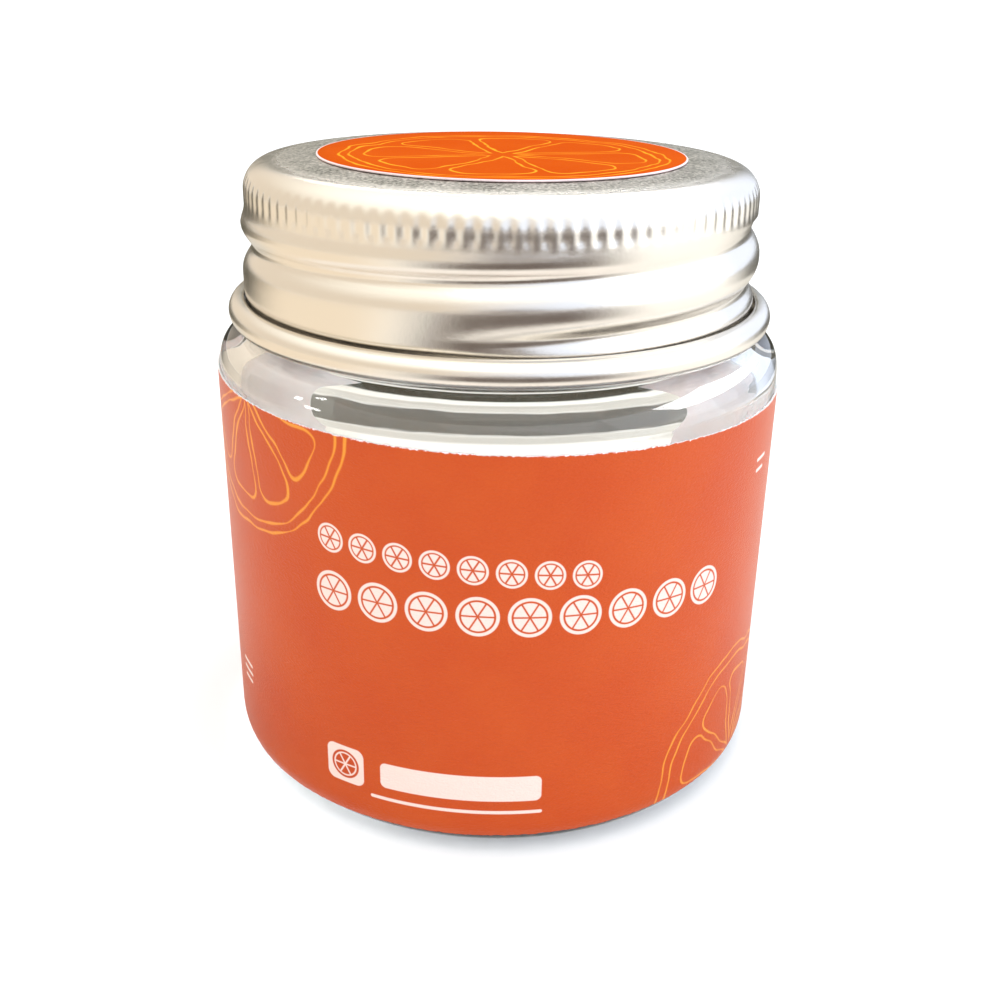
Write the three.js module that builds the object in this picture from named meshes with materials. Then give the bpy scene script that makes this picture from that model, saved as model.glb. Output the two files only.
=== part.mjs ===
// Small glass preserve jar with a pressed aluminium screw lid, a wrap-round paper label and a round
// paper sticker on the lid. Millimetres, +Z up. The origin is the middle of the base, on the surface
// that the jar stands on, and the front of the label faces -Y.
//
// Azimuth is measured in degrees from the front, counter-clockwise seen from above, so +90 is +X.

import * as THREE from "three";

// Driving dimensions of the glass
const GLASS_RADIUS = 23.5;
const WALL = 2.2;
const HEEL_RADIUS = 2.8;
const FLOOR_HEIGHT = 3.4;
const PUSH_UP = 0.9;
const PUSH_UP_FLAT = 13.5;
const BEARING_WIDTH = 1.9;
const SHOULDER_START = 34.7;
const SHOULDER_RISE = 3.0;
const SHOULDER_SQUARENESS = 2.5;
const NECK_RADIUS = 19.3;
const NECK_BORE = 17.2;
const NECK_FOOT = 38.1;
const INNER_HEEL_RADIUS = 3.4;
const INNER_SHOULDER_START = 34.1;
const RIM_HEIGHT = 50.55;
const THREAD_HEIGHT = 1.0;
const THREAD_ABOVE_GROOVE = 2.0;

// Driving dimensions of the lid
const LID_TOP = 51.0;
const LID_RADIUS = 20.75;
const LID_BULGE_RADIUS = 21.15;
const LID_METAL = 0.35;
const LID_CORNER = 2.2;
const KNURL_COUNT = 108;
const KNURL_DEPTH = 0.28;
const KNURL_TOP = 49.9;
const KNURL_BOTTOM = 47.4;
const KNURL_RUNOUT = 0.5;
const GROOVE_FRONT_HEIGHT = 45.2;
const GROOVE_PITCH = 4.23;
const GROOVE_DEPTH = 0.85;
const GROOVE_SOFTNESS = 0.35;
const GROOVE_SHARPNESS = 2.2;
const GROOVE_START_TURN = -1.08;
const GROOVE_END_TURN = 0.42;
const GROOVE_FADE_TURNS = 0.15;
const BAND_TAPER = 1.6;
const SKIRT_RADIUS = 20.65;
const SKIRT_TAPER = 1.8;
const CURL_HEIGHT = 39.1;
const CURL_RADIUS = 1.1;
const CURL_START_DEGREES = 200;
const CURL_END_DEGREES = 460;

// Driving dimensions of the paper
const PAPER = 0.15;
const GLUE = 0.05;
const LABEL_TOP = 34.15;
const LABEL_TOP_SLOPE = -0.45;
const LABEL_BOTTOM = 1.75;
const LABEL_BOTTOM_SLOPE = 0.2;
const STICKER_RADIUS = 14.9;

// Number of flats round each turned form, how many of them the label covers, and rings up each wall
const SEGMENTS = 54;
const LABEL_SEGMENTS = 38;
const THREAD_RINGS = 13;
const LID_WALL_RINGS = 11;

const materials = {
  glass: new THREE.MeshStandardMaterial({
    name: "clear_glass", color: 0xe6ece8, roughness: 0.05, metalness: 0, transparent: true, opacity: 0.35,
  }),
  lid: new THREE.MeshStandardMaterial({
    name: "brushed_aluminium", color: 0xcfccc4, roughness: 0.35, metalness: 1,
  }),
  label: new THREE.MeshStandardMaterial({
    name: "label_paper", color: 0xd8511f, roughness: 0.6, metalness: 0,
  }),
  sticker: new THREE.MeshStandardMaterial({
    name: "sticker_paper", color: 0xee6e23, roughness: 0.5, metalness: 0,
  }),
};

/** Point at an azimuth in degrees, a radius and a height. */
function polar(azimuth, radius, height) {
  const angle = THREE.MathUtils.degToRad(azimuth);
  return [radius * Math.sin(angle), -radius * Math.cos(angle), height];
}

/** Evenly spaced numbers from first to last, both included. */
function spaced(first, last, steps) {
  return Array.from({ length: steps + 1 }, (_, i) => first + ((last - first) * i) / steps);
}

/** Stations on a round stretch of a profile: centre, radius and two angles in degrees from outward. */
function arc(centreRadius, centreHeight, radius, from, to, steps) {
  return spaced(from, to, steps).map((degrees) => {
    const angle = THREE.MathUtils.degToRad(degrees);
    return station(centreRadius + radius * Math.cos(angle), centreHeight + radius * Math.sin(angle));
  });
}

/** One ring of a turned form. The radius is a number, or a function of azimuth and height. */
function station(radius, height, count = SEGMENTS) {
  return { radius, height, count };
}

/** Closed mesh from points and triangles. */
function closedGeometry(points, triangles) {
  const geometry = new THREE.BufferGeometry();
  geometry.setAttribute("position", new THREE.Float32BufferAttribute(points.flat(), 3));
  geometry.setIndex(triangles.flat());
  geometry.computeVertexNormals();
  return geometry;
}

/**
 * Skins a turned form from its first point on the axis, over its rings, to its last point on the axis.
 * Rings may have different numbers of points: the skin steps round both, always the one that is behind.
 */
function turnedGeometry(firstHeight, stations, lastHeight) {
  const points = [];
  const triangles = [];
  const addRing = ({ radius, height, count }) => {
    const start = points.length;
    for (let i = 0; i < count; i += 1) {
      const azimuth = (360 * i) / count;
      const r = typeof radius === "function" ? radius(azimuth, height, i) : radius;
      points.push(polar(azimuth, r, height));
    }
    return { start, count };
  };
  const at = (ring, i) => ring.start + (i % ring.count);
  const joinRings = (a, b) => {
    let i = 0;
    let j = 0;
    while (i < a.count || j < b.count) {
      if (j === b.count || (i < a.count && (i + 1) * b.count <= (j + 1) * a.count)) {
        triangles.push([at(a, i), at(a, i + 1), at(b, j)]);
        i += 1;
      } else {
        triangles.push([at(a, i), at(b, j + 1), at(b, j)]);
        j += 1;
      }
    }
  };

  points.push([0, 0, firstHeight]);
  let ring = addRing(stations[0]);
  for (let i = 0; i < ring.count; i += 1) triangles.push([0, at(ring, i + 1), at(ring, i)]);
  for (const next of stations.slice(1)) {
    const nextRing = addRing(next);
    joinRings(ring, nextRing);
    ring = nextRing;
  }
  const apex = points.length;
  points.push([0, 0, lastHeight]);
  for (let i = 0; i < ring.count; i += 1) triangles.push([at(ring, i), at(ring, i + 1), apex]);
  return closedGeometry(points, triangles);
}

/** Share from 0 to 1 that a helical form has at a turn: it fades in and out at the ends of its run. */
function helixShare(turn) {
  const rise = (turn - GROOVE_START_TURN) / GROOVE_FADE_TURNS;
  const fall = (GROOVE_END_TURN - turn) / GROOVE_FADE_TURNS;
  return THREE.MathUtils.smoothstep(Math.min(rise, fall), 0, 1);
}

/** Height from 0 to 1 of a right-handed helical ridge or groove at a place on the wall. */
function helixForm(azimuth, height, lift) {
  const halfPitch = GROOVE_PITCH / 2;
  const peak = 1 - GROOVE_SOFTNESS / halfPitch;
  const signed = azimuth > 180 ? azimuth - 360 : azimuth;
  let form = 0;
  for (const lap of [-1, 0, 1]) {
    const turn = signed / 360 + lap;
    const off = height - lift - GROOVE_FRONT_HEIGHT - GROOVE_PITCH * turn;
    const near = Math.max(0, 1 - Math.hypot(off, GROOVE_SOFTNESS) / halfPitch) / peak;
    form = Math.max(form, helixShare(turn) * near ** GROOVE_SHARPNESS);
  }
  return form;
}

/** Outer radius of the glass up to the top of its shoulder. */
function glassRadius(height) {
  if (height < HEEL_RADIUS) {
    const drop = HEEL_RADIUS - height;
    return GLASS_RADIUS - HEEL_RADIUS + Math.sqrt(HEEL_RADIUS ** 2 - drop ** 2);
  }
  const share = Math.min(1, Math.max(0, (height - SHOULDER_START) / SHOULDER_RISE));
  const n = SHOULDER_SQUARENESS;
  return GLASS_RADIUS - SHOULDER_RISE + SHOULDER_RISE * (1 - share ** n) ** (1 / n);
}

/** Rings over the squared-off round shoulder, from the wall inwards to the neck. */
function shoulderStations() {
  const n = SHOULDER_SQUARENESS;
  return spaced(0, 90, 6).map((degrees) => {
    const angle = THREE.MathUtils.degToRad(degrees);
    const outward = Math.cos(angle) ** (2 / n);
    const upward = Math.sin(angle) ** (2 / n);
    return station(GLASS_RADIUS - SHOULDER_RISE * (1 - outward), SHOULDER_START + SHOULDER_RISE * upward);
  });
}

/** Open-mouthed jar: pushed-up base on a flat ring, round heel, straight wall, shoulder, threaded neck. */
function glassJar() {
  const bearingOuter = GLASS_RADIUS - HEEL_RADIUS;
  const bearingInner = bearingOuter - BEARING_WIDTH;
  const rimRadius = (NECK_RADIUS - NECK_BORE) / 2;
  const rimMiddle = RIM_HEIGHT - rimRadius;
  const inner = GLASS_RADIUS - WALL;
  const flare = inner - NECK_BORE;
  const neckRadius = (azimuth, height) =>
    NECK_RADIUS + THREAD_HEIGHT * helixForm(azimuth, height, THREAD_ABOVE_GROOVE);
  const stations = [
    station(PUSH_UP_FLAT, PUSH_UP),
    station(bearingInner, 0),
    ...arc(bearingOuter, HEEL_RADIUS, HEEL_RADIUS, -90, 0, 5),
    ...shoulderStations(),
    ...spaced(NECK_FOOT, rimMiddle, THREAD_RINGS).slice(0, -1).map((height) => station(neckRadius, height)),
    ...arc(NECK_BORE + rimRadius, rimMiddle, rimRadius, 0, 180, 4),
    ...arc(NECK_BORE, INNER_SHOULDER_START, flare, 90, 0, 4),
    ...arc(inner - INNER_HEEL_RADIUS, FLOOR_HEIGHT + INNER_HEEL_RADIUS, INNER_HEEL_RADIUS, 0, -90, 4),
  ];
  return turnedGeometry(PUSH_UP, stations, FLOOR_HEIGHT);
}

/** Outer radius of the lid's wall, with its rolled-in helical groove, below the knurled band. */
function lidWallRadius(azimuth, height) {
  const low = THREE.MathUtils.smoothstep(height, CURL_HEIGHT, CURL_HEIGHT + SKIRT_TAPER);
  const high = THREE.MathUtils.smoothstep(height, KNURL_BOTTOM - BAND_TAPER, KNURL_BOTTOM);
  const flareOut = (LID_BULGE_RADIUS - SKIRT_RADIUS) * low;
  const drawIn = (LID_BULGE_RADIUS - LID_RADIUS) * high;
  return SKIRT_RADIUS + flareOut - drawIn - GROOVE_DEPTH * helixForm(azimuth, height, 0);
}

/** Pressed lid: flat top, round corner, knurled band, helical groove and an open curl along its foot. */
function screwLid() {
  const cornerMiddle = LID_TOP - LID_CORNER;
  const cornerAxis = LID_RADIUS - LID_CORNER;
  const innerCorner = LID_CORNER - LID_METAL;
  const cavity = CURL_RADIUS - LID_METAL;
  const curlAxis = SKIRT_RADIUS + cavity;
  const innerWallRadius = (azimuth, height) => lidWallRadius(azimuth, height) - LID_METAL;
  const cornerRadius = (height) => {
    const rise = Math.max(0, height - cornerMiddle);
    return cornerAxis + Math.sqrt(LID_CORNER ** 2 - rise ** 2);
  };
  const knurlStation = (height, depth) =>
    station((azimuth, z, i) => cornerRadius(z) - (i % 2) * depth, height, 2 * KNURL_COUNT);
  const wallHeights = spaced(CURL_HEIGHT, KNURL_BOTTOM, LID_WALL_RINGS + 1).slice(1, -1);
  const stations = [
    ...arc(cornerAxis, cornerMiddle, innerCorner, 90, 0, 3),
    ...[...wallHeights].reverse().map((height) => station(innerWallRadius, height)),
    ...arc(curlAxis, CURL_HEIGHT, CURL_RADIUS, CURL_START_DEGREES, CURL_END_DEGREES, 9),
    ...arc(curlAxis, CURL_HEIGHT, cavity, CURL_END_DEGREES, CURL_START_DEGREES, 6),
    ...wallHeights.map((height) => station(lidWallRadius, height)),
    knurlStation(KNURL_BOTTOM, 0),
    knurlStation(KNURL_BOTTOM + KNURL_RUNOUT, KNURL_DEPTH),
    knurlStation(KNURL_TOP - KNURL_RUNOUT, KNURL_DEPTH),
    knurlStation(KNURL_TOP, 0),
    ...arc(cornerAxis, cornerMiddle, LID_CORNER, 45, 90, 3),
  ];
  return turnedGeometry(LID_TOP - LID_METAL, stations, LID_TOP);
}

/** Curved paper plate that follows the glass, open at the back, with its edges slightly out of true. */
function wrapLabel() {
  const halfWrap = (180 * LABEL_SEGMENTS) / SEGMENTS;
  const columns = spaced(-halfWrap, halfWrap, LABEL_SEGMENTS);
  const points = [];
  const triangles = [];
  const rows = 4;
  for (const azimuth of columns) {
    const turn = THREE.MathUtils.degToRad(azimuth);
    const bottom = LABEL_BOTTOM + LABEL_BOTTOM_SLOPE * turn;
    const top = LABEL_TOP + LABEL_TOP_SLOPE * turn;
    const heights = [bottom, (bottom + HEEL_RADIUS) / 2, HEEL_RADIUS, top];
    const outside = heights.map((height) => polar(azimuth, glassRadius(height) + GLUE + PAPER, height));
    const inside = heights.map((height) => polar(azimuth, glassRadius(height) + GLUE, height));
    points.push(...outside, ...inside.reverse());
  }
  const section = 2 * rows;
  for (let c = 0; c < LABEL_SEGMENTS; c += 1) {
    for (let k = 0; k < section; k += 1) {
      const a = c * section + k;
      const b = c * section + ((k + 1) % section);
      triangles.push([a, a + section, b + section], [a, b + section, b]);
    }
  }
  const last = LABEL_SEGMENTS * section;
  for (let k = 0; k < rows - 1; k += 1) {
    const [a, b, c, d] = [k, k + 1, section - 2 - k, section - 1 - k];
    triangles.push([a, b, c], [a, c, d]);
    triangles.push([last + a, last + c, last + b], [last + a, last + d, last + c]);
  }
  return closedGeometry(points, triangles);
}

/** Thin round paper disc on the lid's flat top. */
function lidSticker() {
  const low = LID_TOP + GLUE;
  const high = low + PAPER;
  return turnedGeometry(low, [station(STICKER_RADIUS, low), station(STICKER_RADIUS, high)], high);
}

/** Named mesh of one piece. */
function piece(name, geometry, material) {
  const mesh = new THREE.Mesh(geometry, material);
  mesh.name = name;
  return mesh;
}

const jar = new THREE.Group();
jar.add(
  piece("glass_jar", glassJar(), materials.glass),
  piece("screw_lid", screwLid(), materials.lid),
  piece("wrap_label", wrapLabel(), materials.label),
  piece("lid_sticker", lidSticker(), materials.sticker),
);

export default jar;
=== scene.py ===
"""Small glass marmalade jar with a rolled aluminium screw lid, a citrus paper label and a lid sticker.

Sizes are in millimetres in the classes below and become metres when a mesh is made. Azimuth runs from
the front of the label (-Y) towards +X, and turned forms are given as (radius, height) profiles.
"""

from __future__ import annotations

import logging
import math
from collections.abc import Sequence
from dataclasses import dataclass, field
from enum import Enum

import bpy
import numpy as np
from mathutils import Matrix, Vector

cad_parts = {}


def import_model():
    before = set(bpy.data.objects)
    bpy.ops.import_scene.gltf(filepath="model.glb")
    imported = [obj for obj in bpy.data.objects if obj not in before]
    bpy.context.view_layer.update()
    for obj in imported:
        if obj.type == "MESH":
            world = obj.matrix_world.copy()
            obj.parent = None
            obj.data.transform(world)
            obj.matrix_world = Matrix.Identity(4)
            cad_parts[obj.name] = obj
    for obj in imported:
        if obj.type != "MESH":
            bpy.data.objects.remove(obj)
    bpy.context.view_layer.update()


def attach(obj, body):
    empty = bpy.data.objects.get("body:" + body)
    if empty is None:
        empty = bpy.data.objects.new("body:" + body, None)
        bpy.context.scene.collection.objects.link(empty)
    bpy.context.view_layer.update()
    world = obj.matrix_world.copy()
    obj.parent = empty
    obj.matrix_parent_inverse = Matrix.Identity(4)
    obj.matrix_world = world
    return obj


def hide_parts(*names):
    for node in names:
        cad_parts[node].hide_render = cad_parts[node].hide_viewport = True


MM = 0.001
MERGE_DISTANCE = 1e-6
CARD_ROUGHNESS = 0.9
LOG = logging.getLogger("marmalade_jar")

Profile = list[tuple[float, float]]
Colour = tuple[float, float, float]


class Socket(Enum):
    """Kinds of socket that the node groups of this file use."""

    NUMBER = "NodeSocketFloat"
    COUNT = "NodeSocketInt"
    VECTOR = "NodeSocketVector"
    GEOMETRY = "NodeSocketGeometry"
    MATERIAL = "NodeSocketMaterial"


class Share(Enum):
    """Names of the profile attributes that say how far a station takes part in a relief."""

    HELIX = "helix_share"
    KNURL = "knurl_share"


# Node trees


class Tree:
    """A node tree with short calls for the nodes that this file uses."""

    def __init__(self, tree: bpy.types.NodeTree) -> None:
        """Wraps a tree that exists."""
        self.tree = tree
        self.column = 0

    def node(self, kind: str, inputs: dict | None = None, **settings: object) -> bpy.types.Node:
        """Adds a node and fills its inputs.

        Args:
            kind: Blender's type name of the node.
            inputs: What goes into each input, by name or number: an output socket or a plain value.
            **settings: The node's own settings.

        Returns:
            The new node.
        """
        made = self.tree.nodes.new(kind)
        made.location = (180 * (self.column % 24), -260 * (self.column // 24))
        self.column += 1
        for name, value in settings.items():
            setattr(made, name, value)
        for key, value in (inputs or {}).items():
            if isinstance(value, bpy.types.NodeSocket):
                self.tree.links.new(value, made.inputs[key])
            else:
                made.inputs[key].default_value = value
        return made

    def math(self, operation: str, *values: object, clamp: bool = False) -> bpy.types.NodeSocket:
        """Adds a Math node on these values and returns its result."""
        made = self.node("ShaderNodeMath", dict(enumerate(values)), operation=operation, use_clamp=clamp)
        return made.outputs[0]

    def vector_math(self, operation: str, *values: object) -> bpy.types.NodeSocket:
        """Adds a Vector Math node on these values and returns its vector, or its number for a length."""
        made = self.node("ShaderNodeVectorMath", dict(enumerate(values)), operation=operation)
        return made.outputs["Value" if operation in ("LENGTH", "DISTANCE", "DOT_PRODUCT") else "Vector"]

    def smooth(self, value: object, low: object, high: object) -> bpy.types.NodeSocket:
        """Smooth step of a value.

        Args:
            value: What the step is taken of.
            low: The value at which the step is 0.
            high: The value at which the step is 1; the step falls where this is below low.

        Returns:
            The socket of the step.
        """
        inputs = {"Value": value, "From Min": low, "From Max": high, "To Min": 0.0, "To Max": 1.0}
        made = self.node("ShaderNodeMapRange", inputs, interpolation_type="SMOOTHSTEP", clamp=True)
        return made.outputs["Result"]

    def split(self, vector: object) -> tuple[bpy.types.NodeSocket, ...]:
        """The three numbers of a vector."""
        return tuple(self.node("ShaderNodeSeparateXYZ", {0: vector}).outputs)

    def join(self, x: object = 0.0, y: object = 0.0, z: object = 0.0) -> bpy.types.NodeSocket:
        """A vector of three numbers."""
        return self.node("ShaderNodeCombineXYZ", {0: x, 1: y, 2: z}).outputs[0]

    def noise(self, place: object, scale: object, detail: float, **inputs: float) -> bpy.types.NodeSocket:
        """Adds a noise texture on a place and returns its value."""
        settings = {"Vector": place, "Scale": scale, "Detail": detail, **inputs}
        return self.node("ShaderNodeTexNoise", settings).outputs[0]

    def mix_colour(self, share: object, first: object, second: object) -> bpy.types.NodeSocket:
        """Mixes two colours.

        Args:
            share: The second colour's share, from 0 to 1.
            first: A socket or three numbers.
            second: A socket or three numbers.

        Returns:
            The socket of the mixed colour.
        """
        made = self.node("ShaderNodeMix", data_type="RGBA")
        for key, value in ((0, share), (6, first), (7, second)):
            if isinstance(value, bpy.types.NodeSocket):
                self.tree.links.new(value, made.inputs[key])
            else:
                made.inputs[key].default_value = (*value, 1.0) if key else value
        return made.outputs[2]

    def group(self, tree: bpy.types.NodeTree, **inputs: object) -> bpy.types.Node:
        """Places a node group and fills its inputs.

        Args:
            tree: The group.
            **inputs: What goes into each input, with an underscore for a space in its name.

        Returns:
            The group's node.
        """
        kind = "ShaderNodeGroup" if self.tree.bl_idname == "ShaderNodeTree" else "GeometryNodeGroup"
        made = self.node(kind, node_tree=tree)
        for name, value in inputs.items():
            socket = made.inputs[name.replace("_", " ")]
            if isinstance(value, bpy.types.NodeSocket):
                self.tree.links.new(value, socket)
            else:
                socket.default_value = value
        return made


@dataclass
class GroupTree(Tree):
    """A node group with named inputs and outputs."""

    name: str
    kind: str
    inputs: dict[str, tuple[Socket, object]]
    outputs: dict[str, Socket]

    def __post_init__(self) -> None:
        """Makes the group, its sockets, and its input and output nodes."""
        super().__init__(bpy.data.node_groups.new(self.name, self.kind))
        for name, (socket, value) in self.inputs.items():
            made = self.tree.interface.new_socket(name, in_out="INPUT", socket_type=socket.value)
            if value is not None:
                made.default_value = value
        for name, socket in self.outputs.items():
            self.tree.interface.new_socket(name, in_out="OUTPUT", socket_type=socket.value)
        self.given = self.node("NodeGroupInput").outputs
        self.result = self.node("NodeGroupOutput").inputs

    def give(self, **results: bpy.types.NodeSocket) -> bpy.types.NodeTree:
        """Links results to the group's outputs.

        Args:
            **results: The socket for each output, with an underscore for a space in its name.

        Returns:
            The finished group.
        """
        for name, value in results.items():
            self.tree.links.new(value, self.result[name.replace("_", " ")])
        return self.tree


# Shapes that follow a rule


@dataclass(frozen=True)
class Helix:
    """A right-handed thread rolled into the lid's wall, or moulded on the glass neck."""

    front_height: float = 45.2
    pitch: float = 4.23
    softness: float = 0.35
    sharpness: float = 2.2
    start_turn: float = -1.08
    end_turn: float = 0.42
    fade_turns: float = 0.15
    laps: tuple[int, ...] = (-1, 0, 1)

    def tree(self) -> bpy.types.NodeTree:
        """Geometry node group that gives the thread's form at a turn and a height.

        Returns:
            The group. Its Form output is 1 on the crest of the thread and 0 away from it.
        """
        number = Socket.NUMBER
        group = GroupTree(
            "helix_lap",
            "GeometryNodeTree",
            {
                "Turn": (number, 0.0),
                "Height": (number, 0.0),
                "Front Height": (number, self.front_height),
                "Pitch": (number, self.pitch),
                "Softness": (number, self.softness),
                "Sharpness": (number, self.sharpness),
                "Start Turn": (number, self.start_turn),
                "End Turn": (number, self.end_turn),
                "Fade Turns": (number, self.fade_turns),
            },
            {"Form": number},
        )
        given = group.given
        turn, soft = given["Turn"], given["Softness"]
        half_pitch = group.math("MULTIPLY", given["Pitch"], 0.5)
        rise = group.math("DIVIDE", group.math("SUBTRACT", turn, given["Start Turn"]), given["Fade Turns"])
        fall = group.math("DIVIDE", group.math("SUBTRACT", given["End Turn"], turn), given["Fade Turns"])
        share = group.smooth(group.math("MINIMUM", rise, fall), 0.0, 1.0)
        line = group.math("MULTIPLY_ADD", given["Pitch"], turn, given["Front Height"])
        off = group.math("SUBTRACT", given["Height"], line)
        reach = group.vector_math("LENGTH", group.join(off, soft))
        near = group.math("SUBTRACT", 1.0, group.math("DIVIDE", reach, half_pitch), clamp=True)
        peak = group.math("SUBTRACT", 1.0, group.math("DIVIDE", soft, half_pitch))
        form = group.math("POWER", group.math("DIVIDE", near, peak), given["Sharpness"])
        return group.give(Form=group.math("MULTIPLY", form, share))


@dataclass
class TurnedForm:
    """A profile turned round the jar's axis by Geometry Nodes, with a rolled thread and knurls as relief.

    Fields:
        name: Name of the finished piece.
        profile: (radius, height) stations in mm, the first and the last on the axis.
        columns: Number of flats round the form.
        helix_share, knurl_share: How much of each relief every station takes, or nothing for none.
        helix: The course of the thread.
        helix_height: How far the thread stands proud of the wall in mm, below 0 for a groove.
        helix_lift: How far the thread lies above its course in mm.
        knurl_count, knurl_depth: The number of knurls round the form, and their depth in mm.
    """

    name: str
    profile: Profile
    columns: int
    helix_share: Sequence[float] | None = None
    knurl_share: Sequence[float] | None = None
    helix: Helix = field(default_factory=Helix)
    helix_height: float = 0.0
    helix_lift: float = 0.0
    knurl_count: int = 0
    knurl_depth: float = 0.0

    def profile_object(self) -> bpy.types.Object:
        """The profile's stations as loose points in the XZ plane, with their relief shares.

        Returns:
            The object that holds the points.
        """
        mesh = bpy.data.meshes.new(self.name)
        mesh.from_pydata([(radius * MM, 0.0, height * MM) for radius, height in self.profile], [], [])
        for share, values in ((Share.HELIX, self.helix_share), (Share.KNURL, self.knurl_share)):
            attribute = mesh.attributes.new(share.value, "FLOAT", "POINT")
            attribute.data.foreach_set("value", list(values or [0.0] * len(self.profile)))
        made = bpy.data.objects.new(self.name, mesh)
        bpy.context.scene.collection.objects.link(made)
        return made

    def tree(self) -> GroupTree:
        """Geometry node tree that turns the profile's points and raises the reliefs.

        Returns:
            The tree, with named inputs for the columns, the thread, the knurls and the material.
        """
        number = Socket.NUMBER
        form = GroupTree(
            f"turned_{self.name}",
            "GeometryNodeTree",
            {
                "Profile": (Socket.GEOMETRY, None),
                "Columns": (Socket.COUNT, 64),
                "Helix Height": (number, 0.0),
                "Helix Lift": (number, 0.0),
                "Knurl Count": (Socket.COUNT, 0),
                "Knurl Depth": (number, 0.0),
                "Finish": (Socket.MATERIAL, None),
            },
            {"Geometry": Socket.GEOMETRY},
        )
        given = form.given
        size = form.node("GeometryNodeAttributeDomainSize", {"Geometry": given["Profile"]}, component="MESH")
        rows = size.outputs["Point Count"]
        across = form.math("ADD", given["Columns"], 1.0)
        sizes = {"Size X": 1.0, "Size Y": 1.0, "Vertices X": across, "Vertices Y": rows}
        grid = form.node("GeometryNodeMeshGrid", sizes)
        place = form.split(form.node("GeometryNodeInputPosition").outputs[0])
        turn = form.math("ADD", place[0], 0.5)
        up = form.math("ADD", place[1], 0.5)
        row = form.math("ROUND", form.math("MULTIPLY", up, form.math("SUBTRACT", rows, 1.0)))

        def at_station(value: bpy.types.NodeSocket, data_type: str) -> bpy.types.NodeSocket:
            """Reads what the profile's point of this row holds.

            Args:
                value: The field that is read.
                data_type: Blender's name of the field's type.

            Returns:
                The socket of what is read.
            """
            inputs = {"Geometry": given["Profile"], "Value": value, "Index": row}
            sampled = form.node("GeometryNodeSampleIndex", data_type=data_type, domain="POINT")
            for key, item in inputs.items():
                form.tree.links.new(item, sampled.inputs[key])
            return sampled.outputs[0]

        station = form.split(at_station(form.node("GeometryNodeInputPosition").outputs[0], "FLOAT_VECTOR"))
        named = {}
        for share in Share:
            source = form.node("GeometryNodeInputNamedAttribute", {"Name": share.value}, data_type="FLOAT")
            named[share] = at_station(source.outputs["Attribute"], "FLOAT")
        height = form.math("DIVIDE", station[2], MM)
        lifted = form.math("SUBTRACT", height, given["Helix Lift"])
        signed = form.math("SUBTRACT", turn, form.math("GREATER_THAN", turn, 0.5))
        lap_tree = self.helix.tree()
        thread: object = 0.0
        for lap in self.helix.laps:
            one = form.group(lap_tree, Turn=form.math("ADD", signed, float(lap)), Height=lifted)
            thread = form.math("MAXIMUM", thread, one.outputs["Form"])
        thread = form.math("MULTIPLY", thread, given["Helix Height"])
        thread = form.math("MULTIPLY", thread, named[Share.HELIX])
        phase = form.math("MULTIPLY", form.math("MULTIPLY", turn, given["Knurl Count"]), math.tau)
        wave = form.math("COSINE", phase)
        dip = form.math("MULTIPLY", form.math("SUBTRACT", 1.0, wave), 0.5)
        knurl = form.math("MULTIPLY", form.math("MULTIPLY", dip, given["Knurl Depth"]), named[Share.KNURL])
        relief = form.math("SUBTRACT", thread, knurl)
        radius = form.math("MULTIPLY_ADD", relief, MM, station[0])
        angle = form.math("MULTIPLY", turn, math.tau)
        back = form.math("MULTIPLY", form.math("COSINE", angle), -1.0)
        sideways = form.math("MULTIPLY", radius, form.math("SINE", angle))
        spot = form.join(sideways, form.math("MULTIPLY", radius, back), station[2])
        turned = form.node("GeometryNodeSetPosition", {"Geometry": grid.outputs["Mesh"], "Position": spot})
        made = turned.outputs[0]
        for kind, inputs in (
            ("GeometryNodeMergeByDistance", {"Distance": MERGE_DISTANCE}),
            ("GeometryNodeSetShadeSmooth", {"Shade Smooth": True}),
            ("GeometryNodeRealizeInstances", {}),
            ("GeometryNodeSetMaterial", {"Material": given["Finish"]}),
        ):
            made = form.node(kind, {"Geometry": made, **inputs}).outputs[0]
        form.give(Geometry=made)
        return form

    def build(self, finish: bpy.types.Material) -> bpy.types.Object:
        """Turns the profile.

        Args:
            finish: The material of the whole piece.

        Returns:
            The finished piece, which is a plain mesh.
        """
        source = self.profile_object()
        tree = self.tree()
        modifier = source.modifiers.new("turned", "NODES")
        modifier.node_group = tree.tree
        values = {
            "Columns": self.columns,
            "Helix Height": self.helix_height,
            "Helix Lift": self.helix_lift,
            "Knurl Count": self.knurl_count,
            "Knurl Depth": self.knurl_depth,
            "Finish": finish,
        }
        for item in tree.tree.interface.items_tree:
            if item.in_out == "INPUT" and item.name in values:
                modifier[item.identifier] = values[item.name]
        return plain_mesh(source)


def plain_mesh(source: bpy.types.Object) -> bpy.types.Object:
    """Takes an object's evaluated mesh as its own, with its faces pointing outwards.

    Args:
        source: The object, which loses its modifiers.

    Returns:
        The same object.
    """
    bpy.context.view_layer.update()
    evaluated = source.evaluated_get(bpy.context.evaluated_depsgraph_get())
    mesh = bpy.data.meshes.new_from_object(evaluated)
    source.modifiers.clear()
    source.data = mesh
    mesh.name = source.name
    if signed_volume(mesh) < 0:
        mesh.flip_normals()
    return source


def signed_volume(mesh: bpy.types.Mesh) -> float:
    """Volume that a closed mesh holds.

    Args:
        mesh: The mesh.

    Returns:
        The volume in cubic metres, which is negative if the faces point inwards.
    """
    mesh.calc_loop_triangles()
    points = np.empty(len(mesh.vertices) * 3)
    mesh.vertices.foreach_get("co", points)
    corners = np.empty(len(mesh.loop_triangles) * 3, dtype=np.int32)
    mesh.loop_triangles.foreach_get("vertices", corners)
    a, b, c = points.reshape(-1, 3)[corners.reshape(-1, 3)].transpose(1, 0, 2)
    return float(np.einsum("ij,ij->i", a, np.cross(b, c)).sum() / 6)


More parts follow.
